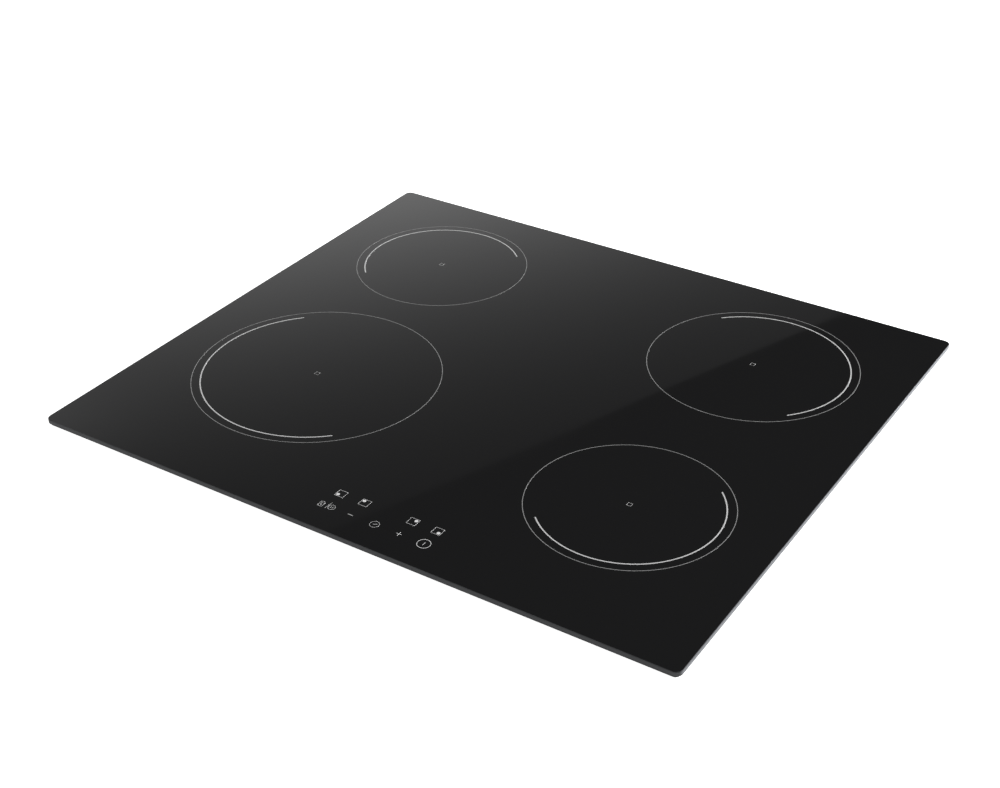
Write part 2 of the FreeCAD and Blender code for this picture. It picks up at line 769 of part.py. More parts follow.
def line_chokes():
    """Ring-core chokes lying on the board."""
    x = board_x1 - 30.0
    cores = []
    for k in range(2):
        y = board_y1 - 36.0 - k * 40.0
        cores.append(Part.makeTorus(11.0, 5.5, V(x, y, board_top + 5.5)))
    return cores


left, right = both_sides(power_board())
save("power_board_left", left)
save("power_board_right", right)
left, right = both_sides(heat_sink())
save("heat_sink_left", left)
save("heat_sink_right", right)
row = devices()
save("power_transistors", row + [mirrored(device) for device in row])
row = film_capacitors()
save("film_capacitors", row + [mirrored(capacitor) for capacitor in row])
row = line_chokes()
save("line_chokes", row + [mirrored(core) for core in row])

# ---------------------------------------------------------------- radial fans

duct_w = fan_r + 12.0
duct_end = fan_y - fan_r - 12.0
motor_r = 12.0
cup_t = 1.5
hub_plate_z = fan_top - fan_wall - 5.0
cup_z = tray_top + 4.5
bearing_r = 3.5


def scroll(inset, z0, z1):
    """The fan's outline: a round chamber with a duct leading forwards off one side."""
    chamber = disc(fan_x, fan_y, z0, z1, fan_r - inset)
    x0 = fan_x - fan_r + inset
    duct = block(x0, x0 + duct_w - 2 * inset, duct_end - inset, fan_y, z0, z1)
    return joined([chamber, duct])


def fan_housing():
    """The lower shell: a floor with the inlet, and walls open at the duct's end."""
    shell = scroll(0.0, tray_top, fan_top - fan_wall)
    inside = scroll(fan_wall, tray_top + fan_wall, fan_top)
    mouth = block(fan_x - fan_r + fan_wall, fan_x - fan_r + duct_w - fan_wall, duct_end - 1, duct_end + 5.0,
                  tray_top + fan_wall, fan_top)
    shell = shell.cut(inside).cut(mouth)
    return shell.cut(disc(fan_x, fan_y, tray_top - 1, tray_top + fan_wall + 1, fan_inlet_r))


def fan_motor():
    """A flange, a bearing tube and a round stator hanging inside the wheel's cup."""
    flange = disc(fan_x, fan_y, fan_top - fan_wall - 1.6, fan_top - fan_wall, motor_r + 3.0)
    tube_z = cup_z + cup_t + 1.0
    bearing = disc(fan_x, fan_y, tube_z, fan_top - fan_wall - 1.6, bearing_r)
    stator = disc(fan_x, fan_y, tube_z + 1.0, hub_plate_z + 1.0, motor_r)
    motor = joined([flange, bearing, stator])
    return motor.cut(disc(fan_x, fan_y, tube_z - 1, fan_top + 1, shaft_r + running_gap))


def fan_impeller():
    """A cup round the motor, a shaft, a hub plate and a ring of blades."""
    cup_r = motor_r + 1.5 + cup_t
    bottom = disc(fan_x, fan_y, cup_z, cup_z + cup_t, cup_r)
    wall = tube(fan_x, fan_y, cup_z + cup_t, hub_plate_z + cup_t, cup_r, cup_r - cup_t)
    plate = tube(fan_x, fan_y, hub_plate_z, hub_plate_z + cup_t, impeller_r, cup_r - cup_t)
    shaft = disc(fan_x, fan_y, cup_z + cup_t, fan_top - fan_wall - 2.0, shaft_r)
    pieces = [bottom, wall, plate, shaft]
    blade_z0 = tray_top + fan_wall + 1.5
    blade_l = 9.0
    for k in range(impeller_blades):
        blade = block(-blade_l / 2, blade_l / 2, -0.5, 0.5, blade_z0, hub_plate_z)
        blade = turned(blade, 0, 0, 35.0)
        blade.translate(V(fan_x + impeller_r - blade_l / 2 - 1.0, fan_y, 0))
        pieces.append(turned(blade, fan_x, fan_y, k * 360.0 / impeller_blades))
    band = tube(fan_x, fan_y, blade_z0, blade_z0 + 1.5, impeller_r, impeller_r - 2.4)
    return joined(pieces + [band])


for name, piece in (
    ("fan_housing", fan_housing()),
    ("fan_cover", scroll(0.0, fan_top - fan_wall, fan_top)),
    ("fan_motor", fan_motor()),
    ("fan_impeller", fan_impeller()),
):
    left, right = both_sides(piece)
    save(name + "_left", left)
    save(name + "_right", right)

# ---------------------------------------------------------------- coil leads down to the boards

lead_bend = 5.0
lead_level = (component_top + plate_z - 3.0) / 2 + 0.5
lead_end_x = board_x1 - 6.0


def coil_lead(x, y, end_x):
    """Down from the winding, level above the boards, and down again to a board terminal."""
    way = 1 if end_x > x else -1
    top = V(x, y, former_top)
    bend_1 = lead_level + lead_bend
    bend_2 = lead_level - lead_bend
    c = lead_bend * (1 - math.cos(math.radians(45)))
    edges = [
        Part.LineSegment(top, V(x, y, bend_1)).toShape(),
        Part.Arc(V(x, y, bend_1), V(x + way * c, y, lead_level + c),
                 V(x + way * lead_bend, y, lead_level)).toShape(),
        Part.LineSegment(V(x + way * lead_bend, y, lead_level),
                         V(end_x - way * lead_bend, y, lead_level)).toShape(),
        Part.Arc(V(end_x - way * lead_bend, y, lead_level), V(end_x - way * c, y, lead_level - c),
                 V(end_x, y, bend_2)).toShape(),
        Part.LineSegment(V(end_x, y, bend_2), V(end_x, y, board_top)).toShape(),
    ]
    path = Part.Wire(edges)
    ring = Part.Wire(Part.Circle(top, V(0, 0, 1), lead_r).toShape())
    return path.makePipeShell([ring], True, True)


leads = []
for zone in ZONES:
    zone_x, zone_y = zone_centre(zone)
    for lead_x, lead_y in lead_spots(zone_x, zone_y):
        leads.append(coil_lead(lead_x, lead_y, -zone[1] * lead_end_x))
save("coil_leads", leads)

# ---------------------------------------------------------------- touch unit under the front strip

touch_drop = 10.0          # glass underside to the touch board's underside
touch_wall = 1.6
touch_board_z = glass_z - touch_drop
touch_board_top = touch_board_z + board_t
carrier_z = touch_board_z - 4.0
pad_r = 4.0
cable_w = 12.0
cable_t = 0.8
cable_bend = 3.0
cable_x = -board_x1 + 14.0
display_w = 12.0
display_d = 8.0


def touch_carrier():
    """An open tray on two legs that holds the touch board up to the glass."""
    floor = block(touch_x0, touch_x1, touch_y0, touch_y1, carrier_z, carrier_z + touch_wall)
    wall_z = carrier_z + touch_wall
    wall = block(touch_x0, touch_x1, touch_y0, touch_y1, wall_z, touch_board_top + 1.0)
    inside = block(touch_x0 + touch_wall, touch_x1 - touch_wall, touch_y0 + touch_wall, touch_y1 - touch_wall,
                   carrier_z, touch_board_top + 2.0)
    pieces = [floor, wall.cut(inside)]
    for x in (touch_x0 + 8.0, touch_x1 - 8.0):
        pieces.append(block(x - 5.0, x + 5.0, touch_y0 + 12.0, touch_y0 + 24.0, floor_z, carrier_z))
        for y in (touch_y0 + 6.0, touch_y1 - 6.0):
            pieces.append(disc(x, y, wall_z, touch_board_z, 2.5))
    body = joined(pieces)
    for side in (-1, 1):
        body = body.cut(block(side * cable_x - cable_w / 2 - 0.5, side * cable_x + cable_w / 2 + 0.5,
                              touch_y1 - touch_wall - 1, touch_y1 + 1, wall_z, touch_board_z))
    return body


def cable_roll(x, y, z):
    """A full roll of flat cable along X, from which a bend is taken."""
    outer = Part.makeCylinder(cable_bend + cable_t, cable_w, V(x, y, z), V(1, 0, 0))
    inner = Part.makeCylinder(cable_bend, cable_w + 2, V(x - 1, y, z), V(1, 0, 0))
    return outer.cut(inner)


def ribbon(side):
    """A flat cable: back out of the touch unit, down, and back again to the power board's plug."""
    x0 = side * cable_x - cable_w / 2
    x1 = x0 + cable_w
    high = touch_board_z - 1.2
    low = board_top + 5.0
    run_y = touch_y1 + 3.0
    upper_y = run_y - cable_bend
    upper_z = high - cable_bend - cable_t
    upper = block(x0, x1, touch_y1 - 10.0, upper_y, high - cable_t, high)
    bend_1 = cable_roll(x0, upper_y, upper_z).common(block(x0, x1, upper_y, run_y + 2, upper_z, high))
    lower_z = low + cable_bend
    drop = block(x0, x1, run_y, run_y + cable_t, lower_z, upper_z)
    bend_y = run_y + cable_t + cable_bend
    bend_2 = cable_roll(x0, bend_y, lower_z).common(block(x0, x1, run_y, bend_y, low - cable_t, lower_z))
    plug_y = board_y0 + 8.0
    tail = block(x0, x1, bend_y, plug_y, low - cable_t, low)
    plug = block(x0 - 1.5, x1 + 1.5, plug_y, plug_y + 6.0, board_top, low + 1.0)
    return joined([upper, bend_1, drop, bend_2, tail, plug])


touch_board = block(touch_x0 + touch_wall + 0.3, touch_x1 - touch_wall - 0.3, touch_y0 + touch_wall + 0.3,
                    touch_y1 - touch_wall - 0.3, touch_board_z, touch_board_top)
save("touch_carrier", touch_carrier())
save("touch_board", touch_board)
pads = [disc(x, row_1, touch_board_top, glass_z, pad_r) for x in column if x != column[2]]
pads += [disc(x, row_2, touch_board_top, glass_z, pad_r) for x in column]
save("touch_pads", pads)
display_y = touch_y1 - touch_wall - 1.0 - display_d / 2
modules = []
for x in column:
    y = row_1 if x == column[2] else display_y
    modules.append(block(x - display_w / 2, x + display_w / 2, y - display_d / 2, y + display_d / 2,
                         touch_board_top, glass_z - 0.5))
save("displays", modules)
save("ribbon_cable", [ribbon(-1), ribbon(1)])

# ---------------------------------------------------------------- mains filter board

filter_x1 = box_x0 - 10.0
filter_x0 = -filter_x1
filter_y0 = tray_y1 + 4.0
filter_y1 = inner_y - 5.0
filter_mid = (filter_y0 + filter_y1) / 2


def filter_board():
    """A board on four feet, with a choke and flat capacitors as separate solids."""
    board = block(filter_x0, filter_x1, filter_y0, filter_y1, board_z, board_top)
    feet = [disc(x, y, floor_z, board_z, 3.5)
            for x in (filter_x0 + 6.0, filter_x1 - 6.0) for y in (filter_y0 + 6.0, filter_y1 - 6.0)]
    choke = Part.makeTorus(12.0, 6.0, V(filter_x0 + 60.0, filter_mid, board_top + 6.0))
    blocks = [rounded_block(26.0, 14.0, 1.0, board_top, component_top - 8.0, filter_x0 + x, filter_mid)
              for x in (105.0, 140.0, 175.0)]
    return [joined([board] + feet), choke] + blocks


save("filter_board", filter_board())

# ---------------------------------------------------------------- mains terminal box at the back

flange_t = 1.5
flange_margin = 4.0
back_y = casing_y + flange_t
wall_y = casing_y - box_wall
access_x0 = box_x0 + 33.0
access_x1 = box_x1 - 4.0
access_z0 = box_z0 + 4.0
access_z1 = box_z1 - 4.0
cable_x0 = box_x0 + 16.0
cable_z = (box_z0 + box_z1) / 2
grommet_r = cable_r + 3.0
grommet_lip_r = grommet_r + 2.5
pin_r = 1.2
pivot_back_y = back_y + 2.6
pivot_back_z = box_z1 + 1.5
lug_r = 2.9
lug_w = 3.5
cover_t = 1.8
cover_gap = 0.3
cover_x0 = access_x0 - 3.0
cover_x1 = access_x1 + 5.0


def along_x(x0, x1, y, z, r):
    """A round bar along X."""
    return Part.makeCylinder(r, x1 - x0, V(x0, y, z), V(1, 0, 0))


def along_y(y0, y1, x, z, r):
    """A round bar along Y."""
    return Part.makeCylinder(r, y1 - y0, V(x, y0, z), V(0, 1, 0))


def terminal_box():
    """A moulded box through the casing's back wall, with a flange, an access window and hinge lugs."""
    body = block(box_x0, box_x1, inner_y - box_d, casing_y, box_z0, box_z1)
    flange = block(box_x0 - flange_margin, box_x1 + flange_margin, casing_y, back_y,
                   box_z0 - box_lift, box_z1 + flange_margin)
    lugs = []
    for x in (cover_x0, cover_x1 - lug_w):
        lugs.append(along_x(x, x + lug_w, pivot_back_y, pivot_back_z, lug_r))
        lugs.append(block(x, x + lug_w, back_y, pivot_back_y, pivot_back_z - lug_r, box_z1 + flange_margin))
    body = joined([body, flange] + lugs)
    body = body.cut(block(box_x0 + box_wall, box_x1 - box_wall, inner_y - box_d + box_wall, wall_y,
                          box_z0 + box_wall, box_z1 - box_wall))
    body = body.cut(block(access_x0, access_x1, wall_y - 1, back_y + 1, access_z0, access_z1))
    body = body.cut(along_y(wall_y - 1, back_y + 1, cable_x0, cable_z, grommet_r + 0.05))
    return body.cut(along_x(cover_x0 - 1, cover_x1 + 1, pivot_back_y, pivot_back_z, pin_r + running_gap))


def terminal_cover():
    """A flap over the window, with a barrel and two stub pins at its top and a finger lip below."""
    y0 = back_y + cover_gap
    shoulder = pivot_back_z - lug_r - 0.3
    plate = block(cover_x0, cover_x1, y0, y0 + cover_t, box_z0 + 1.0, shoulder)
    neck_x0 = cover_x0 + lug_w + 0.3
    neck_x1 = cover_x1 - lug_w - 0.3
    neck = block(neck_x0, neck_x1, y0, y0 + cover_t, shoulder, pivot_back_z)
    barrel = along_x(neck_x0, neck_x1, pivot_back_y, pivot_back_z, pivot_back_y - y0 - 0.2)
    pins = along_x(cover_x0 + 0.5, cover_x1 - 0.5, pivot_back_y, pivot_back_z, pin_r)
    middle = (cover_x0 + cover_x1) / 2
    lip = block(middle - 8.0, middle + 8.0, y0 + cover_t, y0 + cover_t + 2.0, box_z0 + 1.0, box_z0 + 2.6)
    return joined([plate, neck, barrel, pins, lip])


def grommet():
    """A rubber inlet gripped between its two lips by the box's wall."""
    y0 = wall_y - (grommet_length - (back_y - wall_y)) / 2
    y1 = y0 + grommet_length
    waist = along_y(y0, y1, cable_x0, cable_z, grommet_r)
    inner_lip = along_y(y0, wall_y, cable_x0, cable_z, grommet_lip_r - 0.8)
    outer_lip = along_y(back_y, y1, cable_x0, cable_z, grommet_lip_r)
    return joined([waist, inner_lip, outer_lip]).cut(along_y(y0 - 1, y1 + 1, cable_x0, cable_z, cable_r))


pole_pitch = 11.0
block_x0 = (access_x0 + access_x1) / 2 - pole_pitch * pole_count / 2
block_y0 = inner_y - box_d + box_wall + 6.0
block_y1 = block_y0 + 16.0
block_z0 = box_z0 + box_wall
base_top = block_z0 + 5.0


def terminal_block():
    """A base with a wall between each pair of poles."""
    pieces = [block(block_x0, block_x0 + pole_pitch * pole_count, block_y0, block_y1, block_z0, base_top)]
    for k in range(pole_count + 1):
        x = block_x0 + k * pole_pitch
        x = min(max(x, block_x0 + 0.75), block_x0 + pole_pitch * pole_count - 0.75)
        pieces.append(block(x - 0.75, x + 0.75, block_y0, block_y1, base_top, base_top + 7.0))
    return joined(pieces)


def terminal_screw(k):
    """A slotted screw on one pole."""
    x = block_x0 + (k + 0.5) * pole_pitch
    y = (block_y0 + block_y1) / 2
    screw = disc(x, y, base_top, base_top + 4.5, 3.2)
    return screw.cut(block(x - 4.0, x + 4.0, y - 0.5, y + 0.5, base_top + 3.3, base_top + 5.0))


save("terminal_box", terminal_box())
save("terminal_cover", terminal_cover())
save("cable_grommet", grommet())
save("terminal_block", terminal_block())
save("terminal_screws", [terminal_screw(k) for k in range(pole_count)])

tag_x = (box_x1 + step_x) / 2
tag_y = inner_y - 20.0
tag = joined([block(tag_x - 5.0, tag_x + 5.0, tag_y - 8.0, tag_y + 8.0, floor_z, floor_z + 1.0),
              block(tag_x - 3.2, tag_x + 3.2, tag_y + 7.2, tag_y + 8.0, floor_z + 1.0, floor_z + 12.0),
              disc(tag_x, tag_y - 1.0, floor_z + 1.0, floor_z + 4.0, 3.6)])
save("earth_tag", tag)
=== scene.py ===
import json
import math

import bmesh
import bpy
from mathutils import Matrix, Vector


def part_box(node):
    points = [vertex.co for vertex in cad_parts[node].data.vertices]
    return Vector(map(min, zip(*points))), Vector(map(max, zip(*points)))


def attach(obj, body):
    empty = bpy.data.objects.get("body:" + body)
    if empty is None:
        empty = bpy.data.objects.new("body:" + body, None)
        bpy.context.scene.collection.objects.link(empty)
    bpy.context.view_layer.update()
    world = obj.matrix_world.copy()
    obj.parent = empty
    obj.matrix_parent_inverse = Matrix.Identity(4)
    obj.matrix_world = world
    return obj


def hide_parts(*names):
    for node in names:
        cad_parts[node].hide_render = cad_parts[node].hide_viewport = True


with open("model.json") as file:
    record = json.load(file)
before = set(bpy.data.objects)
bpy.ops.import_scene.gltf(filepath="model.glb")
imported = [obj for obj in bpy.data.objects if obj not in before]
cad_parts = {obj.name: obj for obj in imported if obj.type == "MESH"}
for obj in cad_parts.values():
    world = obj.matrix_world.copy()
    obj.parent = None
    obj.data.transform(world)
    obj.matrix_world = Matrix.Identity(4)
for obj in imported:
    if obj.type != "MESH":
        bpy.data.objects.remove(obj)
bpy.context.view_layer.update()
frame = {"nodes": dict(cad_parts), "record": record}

# %% [markdown]
# # A built-in induction hob
# The hob is one plate of black glass-ceramic, four millimetres thick, with a shallow sheet steel casing
# hidden below it. Most of what the eye gets is the plate: a dark mirror, a few fine printed lines and a
# ground edge. The engineering model is loaded first. It fixes every place and size, and the cells below
# only add surfaces, rounded edges and light.

MM = 0.001
glass_low, glass_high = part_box("glass_top")
TOP = glass_high.z
UNDER = glass_low.z
print("glass", round((TOP - UNDER) / MM, 1), "mm thick")

# %% [markdown]
# ## The camera
# The viewer stands at the right front corner, about one and a half metres away and looking down by about
# thirty degrees, so the touch signs are the nearest thing. A 60 mm lens keeps the far corner from shrinking
# too much. A camera can be aimed with a constraint or with angles. Here its three axes are worked out from
# the point that it looks at, because the slight lean of the horizon is then one number.

# %% Camera
CAMERA_FROM_PLATE = Vector((0.6542, -1.0329, 0.7481))
AIM_FROM_PLATE = Vector((0.0039, -0.0264, 0.0))
LENS_MM = 60.16
LEAN = math.radians(0.32)
LENS_SHIFT = -0.001


def aim_camera():
    """A camera above the right front corner, looking at a point near the plate's middle."""
    data = bpy.data.cameras.new("viewer")
    data.lens = LENS_MM
    data.sensor_width = 36.0
    data.shift_x = LENS_SHIFT
    camera = bpy.data.objects.new("viewer", data)
    bpy.context.scene.collection.objects.link(camera)
    forward = (AIM_FROM_PLATE - CAMERA_FROM_PLATE).normalized()
    right = forward.cross(Vector((0, 0, 1))).normalized()
    turn = Matrix.Rotation(LEAN, 3, forward)
    right = turn @ right
    up = right.cross(forward)
    place = Matrix((right, up, -forward)).transposed().to_4x4()
    place.translation = CAMERA_FROM_PLATE + Vector((0, 0, TOP))
    camera.matrix_world = place
    bpy.context.scene.camera = camera
    return camera


viewer = aim_camera()
print("camera at", [round(v, 3) for v in viewer.matrix_world.translation])

# %% [markdown]
# ## Colours and nodes
# Colours are written as they would be picked on a screen, in sRGB hex. Shaders work with linear light, so
# one function turns them. Nodes can be placed by hand in the editor or in code. In code, one small function
# that adds a node, sets it and links it keeps each material short enough to read. Noise seldom leaves the
# range from 0.3 to 0.7, so patterns are spread over that.

# %% Helpers for materials


def colour(hex_code):
    """An sRGB hex colour as linear light, with full cover."""
    parts = [int(hex_code[i:i + 2], 16) / 255 for i in (1, 3, 5)]
    linear = [p / 12.92 if p <= 0.04045 else ((p + 0.055) / 1.055) ** 2.4 for p in parts]
    return (*linear, 1.0)


def add(material, kind, settings=None, links=None):
    """Adds a node, sets properties (lower case) and sockets (capitals or numbers), and links its inputs."""
    node = material.node_tree.nodes.new(kind)
    for name, value in (settings or {}).items():
        if isinstance(name, str) and name[0].islower():
            setattr(node, name, value)
        else:
            node.inputs[name].default_value = value
    for name, output in (links or {}).items():
        material.node_tree.links.new(output, node.inputs[name])
    return node


def finish_of(name, base, roughness, metallic=0.0, **sockets):
    """A material with one shader. Sockets that are the same all over the surface are set on it directly."""
    material = bpy.data.materials.new(name)
    material.use_nodes = True
    shader = material.node_tree.nodes["Principled BSDF"]
    shader.inputs["Base Color"].default_value = colour(base)
    shader.inputs["Roughness"].default_value = roughness
    shader.inputs["Metallic"].default_value = metallic
    for socket, value in sockets.items():
        shader.inputs[socket.replace("_", " ")].default_value = value
    material.diffuse_color = colour(base)
    return material, shader


def join_socket(material, output, shader, socket):
    """Links a pattern to a shader's socket."""
    material.node_tree.links.new(output, shader.inputs[socket])


def place_of(material):
    """Positions in metres on the piece itself, which move with it."""
    return add(material, "ShaderNodeTexCoord").outputs["Object"]


NOISE_LOW = 0.3
NOISE_HIGH = 0.7


def mottled(material, shader, size_mm, dark, light, detail=3.0, socket="Base Color", at=None):
    """Soft patches of about size_mm between two values or colours."""
    scale = 1.0 / (size_mm * MM)
    noise = add(material, "ShaderNodeTexNoise", {"Scale": scale, "Detail": detail},
                {"Vector": at or place_of(material)})
    if socket == "Base Color":
        ramp = add(material, "ShaderNodeValToRGB", links={"Fac": noise.outputs["Fac"]})
        ramp.color_ramp.elements[0].position = NOISE_LOW
        ramp.color_ramp.elements[0].color = colour(dark)
        ramp.color_ramp.elements[1].position = NOISE_HIGH
        ramp.color_ramp.elements[1].color = colour(light)
        join_socket(material, ramp.outputs["Color"], shader, socket)
    else:
        span = {"From Min": NOISE_LOW, "From Max": NOISE_HIGH, "To Min": dark, "To Max": light}
        levels = add(material, "ShaderNodeMapRange", span, {"Value": noise.outputs["Fac"]})
        join_socket(material, levels.outputs["Result"], shader, socket)
    return noise


def grainy(material, shader, size_mm, depth_mm, detail=2.0, at=None):
    """A fine relief of about size_mm across and depth_mm high."""
    noise = add(material, "ShaderNodeTexNoise", {"Scale": 1.0 / (size_mm * MM), "Detail": detail},
                {"Vector": at or place_of(material)})
    bump = add(material, "ShaderNodeBump", {"Strength": 1.0, "Distance": depth_mm * MM},
               {"Height": noise.outputs["Fac"]})
    join_socket(material, bump.outputs["Normal"], shader, "Normal")
    return bump


print("mid grey #808080 is", round(colour("#808080")[0], 3), "in linear light")

# %% [markdown]
# ## The plate: black glass-ceramic, rolled and polished by fire
# The plate is a glass-ceramic that is dyed almost black. Its top is as smooth as it left the rollers, so it
# works as a dark mirror: nearly all of its brightness is reflected light, about nine percent at this angle.
# It could be built as clear glass over a black body, but nothing can be seen through the real one, so an
# opaque black base under a smooth dielectric surface gives the same look for far less work. Roughness
# drifts a little where hands and cloths have been.

# %% Glass-ceramic, fire-polished top


def make_glass_ceramic():
    """Black dielectric with a mirror-like surface and faint wiping marks."""
    material, shader = finish_of("glass_ceramic_fire_polished", "#040405", 0.03, IOR=1.53)
    mottled(material, shader, 90.0, 0.022, 0.05, detail=4.0, socket="Roughness")
    return material


glass_ceramic = make_glass_ceramic()
print(glass_ceramic.name, "has", len(glass_ceramic.node_tree.nodes), "nodes")

# %% [markdown]
# The edge is cut with a wheel and ground, then its two arrises are taken off. Ground glass scatters light
# in its skin, so the edge is a soft grey band with fine lines along it from the grit, about a tenth of a
# millimetre apart. They are drawn three times coarser, since finer ones wouldn't show.

# %% Glass-ceramic, ground edge
GRIND_LINES_PER_M = 3300.0
GRIND_BREAKS_PER_M = 12.0


def make_ground_edge():
    """Satin grey band with fine grinding lines that run round the plate."""
    material, shader = finish_of("glass_ceramic_ground_edge", "#333436", 0.42, IOR=1.53)
    place = place_of(material)
    along_and_across = (GRIND_BREAKS_PER_M, GRIND_BREAKS_PER_M, GRIND_LINES_PER_M)
    stretch = add(material, "ShaderNodeMapping", {"Scale": along_and_across}, {"Vector": place})
    lines = add(material, "ShaderNodeTexNoise", {"Scale": 1.0, "Detail": 2.0},
                {"Vector": stretch.outputs["Vector"]})
    ramp = add(material, "ShaderNodeValToRGB", links={"Fac": lines.outputs["Fac"]})
    ramp.color_ramp.elements[0].position = NOISE_LOW
    ramp.color_ramp.elements[0].color = colour("#2d2e30")
    ramp.color_ramp.elements[1].position = NOISE_HIGH
    ramp.color_ramp.elements[1].color = colour("#3a3b3d")
    join_socket(material, ramp.outputs["Color"], shader, "Base Color")
    bump = add(material, "ShaderNodeBump", {"Strength": 0.5, "Distance": 0.02 * MM},
               {"Height": lines.outputs["Fac"]})
    join_socket(material, bump.outputs["Normal"], shader, "Normal")
    return material


ground_edge = make_ground_edge()
print(ground_edge.name, "has", len(ground_edge.node_tree.nodes), "nodes")

# %% [markdown]
# ## The print: ceramic enamel, screen-printed and fired
# Rings, half circles and touch signs are glass enamel printed through a mesh and fired into the plate.
# Fired enamel is a matt, slightly grainy coat, and thin lines let some of the black through, so the thin
# rings look darker than the broad half circles. The grain of the mesh is about a tenth of a millimetre,
# drawn here at a third of one.

# %% Enamels


def make_enamel(name, dark, light):
    """Matt fired enamel with the faint grain of the printing mesh."""
    material, shader = finish_of(name, light, 0.55, IOR=1.5)
    mottled(material, shader, 0.35, dark, light, detail=1.0)
    return material


ring_enamel = make_enamel("enamel_fired_grey_thin", "#747474", "#848484")
arc_enamel = make_enamel("enamel_fired_light_grey", "#aaaaaa", "#bababa")
mark_enamel = make_enamel("enamel_fired_pale_grey", "#c2c2c2", "#cecece")
print("print made of", [m.name for m in (ring_enamel, arc_enamel, mark_enamel)])

# %% [markdown]
# ## Metals, plastics and the rest
# The casing is folded from hot-dip galvanised sheet, whose zinc freezes into flat crystals a few
# millimetres across. Each crystal mirrors the light at its own angle, which a cell pattern gives: one
# random grey and one random roughness for each cell.

# %% Galvanised sheet
SPANGLE_MM = 7.0
WANDER_MM = 6.25
WANDER_BY = (6.0 * MM, 6.0 * MM, 6.0 * MM)


def make_galvanised():
    """Zinc spangle, about seven millimetres across, on rolled steel."""
    material, shader = finish_of("steel_sheet_hot_dip_galvanised", "#adb1b3", 0.42, metallic=1.0)
    place = place_of(material)
    warp = add(material, "ShaderNodeTexNoise", {"Scale": 1.0 / (WANDER_MM * MM), "Detail": 2.0},
               {"Vector": place})
    bent = add(material, "ShaderNodeVectorMath", {"operation": "MULTIPLY_ADD", 1: WANDER_BY},
               {0: warp.outputs["Color"], 2: place})
    cells = add(material, "ShaderNodeTexVoronoi", {"Scale": 1.0 / (SPANGLE_MM * MM)},
                {"Vector": bent.outputs["Vector"]})
    grey = add(material, "ShaderNodeSeparateColor", links={"Color": cells.outputs["Color"]})
    ramp = add(material, "ShaderNodeValToRGB", links={"Fac": grey.outputs["Red"]})
    ramp.color_ramp.elements[0].color = colour("#9fa4a6")
    ramp.color_ramp.elements[1].color = colour("#bbbfc1")
    join_socket(material, ramp.outputs["Color"], shader, "Base Color")
    rough = add(material, "ShaderNodeMapRange", {"To Min": 0.36, "To Max": 0.48},
                {"Value": grey.outputs["Green"]})
    join_socket(material, rough.outputs["Result"], shader, "Roughness")
    return material


galvanised = make_galvanised()
print(galvanised.name, "has", len(galvanised.node_tree.nodes), "nodes")

# %% [markdown]
# Screws and brackets are zinc plated and passivated: brighter than galvanised sheet, with a faint warm and
# blue drift. Aluminium is left as it comes from the mill, with fine lines along the way it was rolled or
# pushed through the die.

# %% Plated steel, aluminium and other metals


def make_metal(name, dark, light, low_rough, high_rough, patch_mm, stretch=(1.0, 1.0, 1.0)):
    """A plain metal whose colour and polish drift in patches, which may be drawn out along one direction."""
    material, shader = finish_of(name, light, low_rough, metallic=1.0)
    pulled = add(material, "ShaderNodeMapping", {"Scale": stretch}, {"Vector": place_of(material)})
    at = pulled.outputs["Vector"]
    mottled(material, shader, patch_mm, dark, light, at=at)
    mottled(material, shader, patch_mm * 0.6, low_rough, high_rough, socket="Roughness", at=at)
    return material


zinc_plated = make_metal("steel_zinc_plated_passivated", "#b5b6ae", "#c9ccd0", 0.24, 0.36, 6.0)
spring_steel = make_metal("spring_steel_strip_blued", "#4f5257", "#6b6f76", 0.3, 0.45, 5.0, (1.0, 0.1, 1.0))
mill_aluminium = make_metal("aluminium_sheet_mill_rolled", "#c2c4c6", "#d4d6d8", 0.28, 0.42, 2.0,
                            (1.0, 0.02, 1.0))
extruded_aluminium = make_metal("aluminium_extruded", "#b9bbbe", "#cfd1d3", 0.3, 0.44, 1.5, (1.0, 0.02, 1.0))
brass = make_metal("brass_turned", "#a88a48", "#c4a561", 0.22, 0.36, 3.0)
lamination = make_metal("steel_laminations_stacked", "#6e7073", "#8c8f93", 0.35, 0.5, 0.8, (0.05, 0.05, 1.0))
metals = (zinc_plated, spring_steel, mill_aluminium, extruded_aluminium, brass, lamination)
print("metals", [m.name for m in metals])

# %% [markdown]
# The coils are wound from a rope of fine enamelled copper wires. The twist shows as slanting stripes across
# each turn, about two millimetres apart: a slanting bump, with painted shade darkening the grooves between
# strands. Along a level surface, Blender's diagonal waves repeat every 0.44 m at a scale of one, and straight
# ones every 0.31 m. A spacing in millimetres is turned into a scale from those.

# %% Copper litz and enamelled wire
DIAGONAL_WAVE = 0.44
STRAIGHT_WAVE = 0.31


def make_litz():
    """Twisted copper strands: slanting ridges over a warm metal, with painted shade in their grooves."""
    material, shader = finish_of("copper_litz_enamelled", "#b5683c", 0.34, metallic=1.0)
    twist = {"Scale": DIAGONAL_WAVE / (2.0 * MM), "Distortion": 1.2, "Detail": 1.0,
             "bands_direction": "DIAGONAL"}
    stripes = add(material, "ShaderNodeTexWave", twist, {"Vector": place_of(material)})
    # Painted shade: the colour is darkest where the bump is lowest, in the grooves between strands.
    ramp = add(material, "ShaderNodeValToRGB", links={"Fac": stripes.outputs["Fac"]})
    ramp.color_ramp.elements[0].color = colour("#7a3f22")
    ramp.color_ramp.elements[1].color = colour("#c47a4b")
    join_socket(material, ramp.outputs["Color"], shader, "Base Color")
    bump = add(material, "ShaderNodeBump", {"Distance": 0.2 * MM}, {"Height": stripes.outputs["Fac"]})
    join_socket(material, bump.outputs["Normal"], shader, "Normal")
    return material


copper_litz = make_litz()
choke_wire = make_metal("copper_wire_enamelled_dark", "#6b3418", "#93512c", 0.25, 0.4, 1.2)
print("copper", [m.name for m in (copper_litz, choke_wire)])

